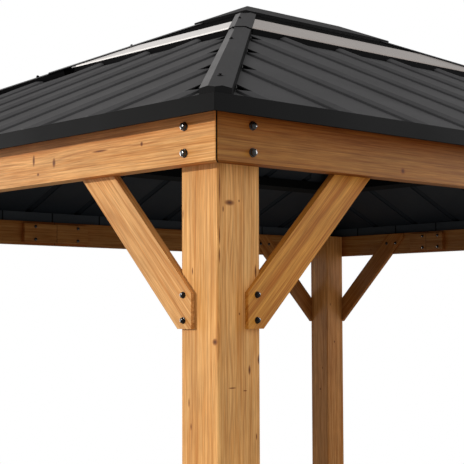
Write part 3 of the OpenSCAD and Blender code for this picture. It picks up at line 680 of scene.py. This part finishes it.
def coil_coat(name, colour, roughness, specular, edge=None, under=None, flank_highlight=None):
    """Coil-coated steel sheet: an even satin paint with slow dust clouds, and fine mottling, drawn coarser
    than the real one so that it shows. Creases are darkened as painted shade. Upright edges may get a
    near-black colour, as painted shade; the underside a darker colour, as painted shade; and the flanks that
    face the short sides a lighter colour, as a painted highlight."""
    material, tree, shader = new_material(name, roughness, specular)
    place = add(tree, "TexCoord")["Object"]
    cloud = add(tree, "TexNoise", {"Vector": place, "Scale": 1 / COIL_DUST, "Detail": 5.0,
                                   "Roughness": 0.6})[0]
    mottle = add(tree, "TexNoise", {"Vector": place, "Scale": 1 / COIL_MOTTLE, "Detail": 2.0})[0]
    tone = add(tree, "MapRange", {0: cloud, 1: 0.3, 2: 0.75, 3: 0.88, 4: 1.14})[0]
    speck = add(tree, "MapRange", {0: mottle, 1: 0.3, 2: 0.7, 3: 0.90, 4: 1.10})[0]
    tone = add(tree, "Math", {0: tone, 1: speck}, operation="MULTIPLY")[0]
    # Painted shade: creases and hollows are darkened
    crease = add(tree, "AmbientOcclusion", {"Distance": CREASE_REACH}, samples=6)["AO"]
    crease = add(tree, "MapRange", {0: crease, 1: 0.35, 2: 0.95, 3: 0.25, 4: 1.05})[0]
    tone = add(tree, "Math", {0: tone, 1: crease}, operation="MULTIPLY")[0]
    face = add(tree, "NewGeometry")["True Normal"]
    rise = add(tree, "SeparateXYZ", {0: face})[2]
    base = linear(colour)
    # Painted highlight: flanks turned to the short sides are lighter
    if flank_highlight:
        tilt = add(tree, "SeparateXYZ", {0: add(tree, "VectorMath", {0: face}, operation="ABSOLUTE")[0]})
        tilt = add(tree, "Math", {0: tilt[0], 1: tilt[1]}, operation="SUBTRACT")[0]
        tilt = add(tree, "MapRange", {0: tilt, 1: 0.06, 2: 0.10, 3: 0.0, 4: 1.0})[0]
        base = add(tree, "Mix", {0: tilt, 6: base, 7: linear(flank_highlight)}, data_type="RGBA")[2]
    # Painted shade: downward faces are darker
    if under:
        below = add(tree, "Math", {0: rise, 1: -0.3}, operation="LESS_THAN")[0]
        base = add(tree, "Mix", {0: below, 6: base, 7: linear(under)}, data_type="RGBA")[2]
    # Painted shade: upright faces are near black and matt
    if edge:
        upright = add(tree, "Math", {0: rise, 1: 0.0, 2: 0.6}, operation="COMPARE")[0]
        base = add(tree, "Mix", {0: upright, 6: base, 7: linear(edge)}, data_type="RGBA")[2]
        gloss = add(tree, "MapRange", {0: upright, 1: 0.0, 2: 1.0, 3: specular, 4: 0.01})[0]
        feed(tree, shader, {"Specular IOR Level": gloss})
    paint = add(tree, "VectorMath", {0: base, "Scale": tone}, operation="SCALE")[0]
    rough = add(tree, "MapRange", {0: cloud, 1: 0.3, 2: 0.75, 3: roughness - 0.06, 4: roughness + 0.06})[0]
    feed(tree, shader, {"Base Color": paint, "Roughness": rough})
    return material


sheet_coat = coil_coat("charcoal coil coat on sheet", "#515153", 0.6, 0.12, under="#191e24")
for side in SIDES:
    finish_node("roof_" + side, sheet_coat)


# The hip caps and the crown: folded steel in the same coil coat. Their upright edges are painted near black,
# as painted shade, and the caps' flanks that face the short sides are painted lighter, as a painted
# highlight. Four roofing screws with a rubber washer hold each cap down, and a strip of black foam under it
# closes the gaps to the ribs.
EAVE_X = 2.0153
EAVE_Y = 1.7283
EAVE_Z = 2.1855
PITCH = math.radians(24.1)
SLOPE = math.tan(PITCH)
LOWER_CAP_TOP = 0.0247
UPPER_CAP_TOP = 0.0280
# Distance in from the eave, height above the hip line and distance off the hip line
CAP_SCREWS = ((0.145, LOWER_CAP_TOP, -0.003), (0.820, LOWER_CAP_TOP, 0.011),
              (1.100, LOWER_CAP_TOP, 0.022), (1.385, UPPER_CAP_TOP, 0.014))
FOAM_HALF = 0.014
FOAM_FOOT = -0.003
FOAM_MIDDLE = 0.001
# Distance in from the eave and height of the strip's top above the hip line
FOAM_STATIONS = ((0.060, 0.020), (1.128, 0.020), (1.128, 0.0235), (1.240, 0.0235))


def on_hip(sx, sy, run):
    """A point on a hip line, this far in from the eave, with the direction square to the
    roof there and the level direction across the hip."""
    point = Vector((sx * (EAVE_X - run), sy * (EAVE_Y - run), EAVE_Z + SLOPE * run))
    return point, Vector((sx * SLOPE / 2, sy * SLOPE / 2, 1)).normalized(), Vector((sx, -sy, 0)).normalized()


# Painted highlight on the caps' flanks; painted shade on the upright edges of caps and crown
cap_coat = coil_coat("charcoal coil coat on hip caps", "#454547", 0.55, 0.15, edge="#161617", flank_highlight="#737375")
crown_coat = coil_coat("charcoal coil coat on crown", "#444446", 0.55, 0.12, edge="#0b0b0c")
for corner, _, _ in CORNERS:
    finish_node("hip_cap_" + corner, cap_coat)
finish_node("crown_cap", crown_coat)
cap_screws = []
foam_verts, foam_faces = [], []
for sx in (-1, 1):
    for sy in (-1, 1):
        for run, top, off in CAP_SCREWS:
            point, normal, aside = on_hip(sx, sy, run)
            cap_screws.append((point + normal * top + aside * off, normal))
        start = len(foam_verts)
        for run, top in FOAM_STATIONS:
            point, normal, aside = on_hip(sx, sy, run)
            outline = ((-FOAM_HALF, FOAM_FOOT), (0.0, FOAM_MIDDLE), (FOAM_HALF, FOAM_FOOT),
                       (FOAM_HALF, top), (-FOAM_HALF, top))
            foam_verts += [tuple(point + normal * lift + aside * off) for off, lift in outline]
        points = len(outline)
        last = start + points * (len(FOAM_STATIONS) - 1)
        for low in range(start, last, points):
            for i in range(points):
                j = (i + 1) % points
                foam_faces.append([low + i, low + j, low + points + j, low + points + i])
        foam_faces += [[start + i for i in reversed(range(points))], [last + i for i in range(points)]]
screw_black = powder_coat("painted roofing screw", "#0c0c0d", 0.6, 0.1)
set_out("cap_screws", bolt_shape(0.008, 0.0045, 0.0075, 0.0018), cap_screws, screw_black, 15)
# Closed-cell foam is matt black. Its cells are drawn coarser than they are, so that they show
foam_black = mottled("closed-cell foam strip", 0.0025, 2.0, "#060606", "#131314", 0.95, 0.05)[0]
foam = mesh_object("hip_foam_strips", foam_verts, foam_faces, foam_black)
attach(foam, "root")


# The skylight: a flat smoky polycarbonate sheet on each side, which lies on a black steel bar at its foot.
# Its top end, below the crown, is painted black: painted shade.
GLAZING_LOW = 0.02085
GLAZING_ROUGH = 0.16
GLAZING_SPECULAR = 0.5
GLAZING_CLOUD = 0.3
# Black of the bar, and painted shade at the sheet's top end
BAR_AND_SHADE_BLACK = "#0b0b0c"
# This scale of the wave pattern puts the flutes about 10 mm apart
FLUTE_SCALE = 1 / 0.0314
# Dull and bright colour, height where the painted shade at the top begins, and the strength of a painted
# glow. All are matched to the photograph, where the short sides are paler: their paler colours are painted
# light.
LONG_SIDE_GLAZING = ("#877c76", "#ada29b", 2.858, 0.11)
SHORT_SIDE_GLAZING = ("#d6d3d0", "#eeebe9", 2.829, 0.27)
for side, out in (("front", (0, -1)), ("right", (1, 0)), ("back", (0, 1)), ("left", (-1, 0))):
    if side in ("front", "back"):
        (dull, bright, top, through), eave, across = LONG_SIDE_GLAZING, EAVE_Y, "X"
    else:
        (dull, bright, top, through), eave, across = SHORT_SIDE_GLAZING, EAVE_X, "Y"
    square = Vector((out[0] * math.sin(PITCH), out[1] * math.sin(PITCH), math.cos(PITCH)))
    level = Vector((out[0] * eave, out[1] * eave, EAVE_Z)).dot(square)
    smoky, tree, shader = new_material("smoky polycarbonate " + side, GLAZING_ROUGH, GLAZING_SPECULAR)
    place = add(tree, "TexCoord")["Object"]
    # Fine flutes run up the slope and only just show
    flute = add(tree, "TexWave", {"Vector": place, "Scale": FLUTE_SCALE, "Distortion": 0.0},
                bands_direction=across)[0]
    cloud = add(tree, "TexNoise", {"Vector": place, "Scale": 1 / GLAZING_CLOUD, "Detail": 3.0})[0]
    body = add(tree, "Math", {0: flute, 1: 0.35, 2: cloud}, operation="MULTIPLY_ADD")[0]
    paint = add(tree, "Mix", {0: body, 6: linear(dull), 7: linear(bright)}, data_type="RGBA")[2]
    # Only the sheet is bare: the bar below it is black, and the top end above it is painted black as painted
    # shade
    height = add(tree, "VectorMath", {0: place, 1: tuple(square)}, operation="DOT_PRODUCT")["Value"]
    above = add(tree, "Math", {0: height, 1: level + GLAZING_LOW}, operation="GREATER_THAN")[0]
    below = add(tree, "Math", {0: add(tree, "SeparateXYZ", {0: place})[2], 1: top}, operation="LESS_THAN")[0]
    bare = add(tree, "Math", {0: above, 1: below}, operation="MULTIPLY")[0]
    paint = add(tree, "Mix", {0: bare, 6: linear(BAR_AND_SHADE_BLACK), 7: paint}, data_type="RGBA")[2]
    # Painted glow: the sheet gives off a little light, in place of the sky light that comes through it
    glow = add(tree, "Math", {0: bare, 1: through}, operation="MULTIPLY")[0]
    shader.inputs["Emission Color"].default_value = (1.0, 0.96, 0.94, 1.0)
    # The sheet's face is glossy; its edges, the bar and the black top end are matt
    rise = add(tree, "SeparateXYZ", {0: add(tree, "NewGeometry")["True Normal"]})[2]
    upper = add(tree, "Math", {0: rise, 1: 0.7}, operation="GREATER_THAN")[0]
    upper = add(tree, "Math", {0: upper, 1: bare}, operation="MULTIPLY")[0]
    rough = add(tree, "MapRange", {0: upper, 1: 0.0, 2: 1.0, 3: 0.8, 4: GLAZING_ROUGH})[0]
    gloss = add(tree, "MapRange", {0: upper, 1: 0.0, 2: 1.0, 3: 0.02, 4: GLAZING_SPECULAR})[0]
    feed(tree, shader, {"Base Color": paint, "Emission Strength": glow, "Roughness": rough,
                        "Specular IOR Level": gloss})
    finish_node("skylight_" + side, smoky)
